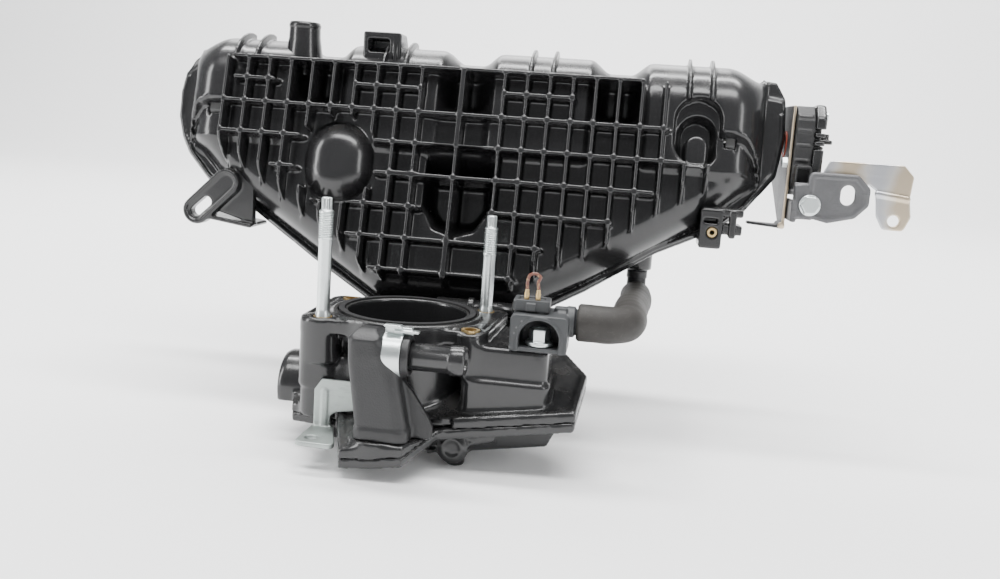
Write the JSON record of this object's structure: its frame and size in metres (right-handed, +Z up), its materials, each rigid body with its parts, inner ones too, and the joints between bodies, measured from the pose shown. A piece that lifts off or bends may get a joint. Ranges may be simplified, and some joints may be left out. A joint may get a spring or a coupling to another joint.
{
  "type": "intake manifold",
  "caption": "Ribbed plastic intake manifold with welded shells, head flange with turning runner flaps, side actuator and throttle chamber.",
  "frame": {"origin": "centre of the cylinder-head face, midway between the two middle ports", "axes": "+X along the row of runners towards the actuator, +Y out of the head face, +Z up, out of the throttle flange"},
  "size_m": [0.4769, 0.2449, 0.2402],
  "materials": {
    "gloss_nylon": "glossy moulded glass-filled nylon, black",
    "matte_nylon": "satin moulded nylon, black",
    "grey_plastic": "satin grey-black plastic",
    "hose_rubber": "matte ribless rubber hose",
    "seal_rubber": "moulded seal rubber",
    "red_rubber": "red-brown silicone seal",
    "zinc_plate": "bright zinc plate",
    "stay_steel": "brushed stainless with heat tint",
    "dark_steel": "dark coated pressed steel",
    "brass": "brass",
    "wire_brown": "brown wire insulation"
  },
  "bodies": {
    "manifold": {"front_shell": "gloss_nylon", "rear_shell": "gloss_nylon", "throttle_chamber": "gloss_nylon", "chamber_base": "gloss_nylon", "breather_nipple": "gloss_nylon", "return_pipe": "gloss_nylon", "actuator_cover": "gloss_nylon", "runner_shell": "matte_nylon", "port_flange": "matte_nylon", "breather_elbow": "matte_nylon", "actuator_housing": "matte_nylon", "hose_nipple": "matte_nylon", "valve_body": "grey_plastic", "valve_connector": "grey_plastic", "vacuum_hose": "hose_rubber", "port_seal_1": "seal_rubber", "port_seal_2": "seal_rubber", "port_seal_3": "seal_rubber", "port_seal_4": "seal_rubber", "throttle_seal": "seal_rubber", "shaft_seal": "red_rubber", "throttle_stud_1": "zinc_plate", "throttle_stud_2": "zinc_plate", "nipple_clamp": "zinc_plate", "lower_stay": "zinc_plate", "valve_bolt": "zinc_plate", "plate_bolt": "zinc_plate", "bracket_bolt": "zinc_plate", "bracket_nut": "zinc_plate", "cover_screw_1": "zinc_plate", "cover_screw_2": "zinc_plate", "cover_screw_3": "zinc_plate", "actuator_motor": "zinc_plate", "flange_sleeve_1": "zinc_plate", "flange_sleeve_2": "zinc_plate", "flange_sleeve_3": "zinc_plate", "flange_sleeve_4": "zinc_plate", "flange_sleeve_5": "zinc_plate", "stay_strip": "stay_steel", "actuator_plate": "stay_steel", "side_bracket": "dark_steel", "clip_insert": "brass", "shaft_bush_1": "brass", "shaft_bush_2": "brass", "stud_insert_1": "brass", "stud_insert_2": "brass", "bolt_insert_1": "brass", "bolt_insert_2": "brass", "valve_terminal_1": "brass", "valve_terminal_2": "brass", "valve_wire": "wire_brown"},
    "runner_valves": {"valve_shaft": "stay_steel", "flap_1": "stay_steel", "flap_2": "stay_steel", "flap_3": "stay_steel", "flap_4": "stay_steel", "drive_coupling": "grey_plastic"},
    "plunger": {"valve_plunger": "stay_steel"}
  },
  "joints": [
    {"name": "runner_valve_turn", "type": "hinge", "parent": "manifold", "child": "runner_valves", "pos_m": [0, -0.024, 0], "axis": [1, 0, 0], "range_deg": [0, 78]},
    {"name": "plunger_slide", "type": "slide", "parent": "manifold", "child": "plunger", "axis": [1, 0, 0], "range_m": [0, 0.002], "stiffness_N_per_m": 250, "springref_m": -0.002}
  ]
}
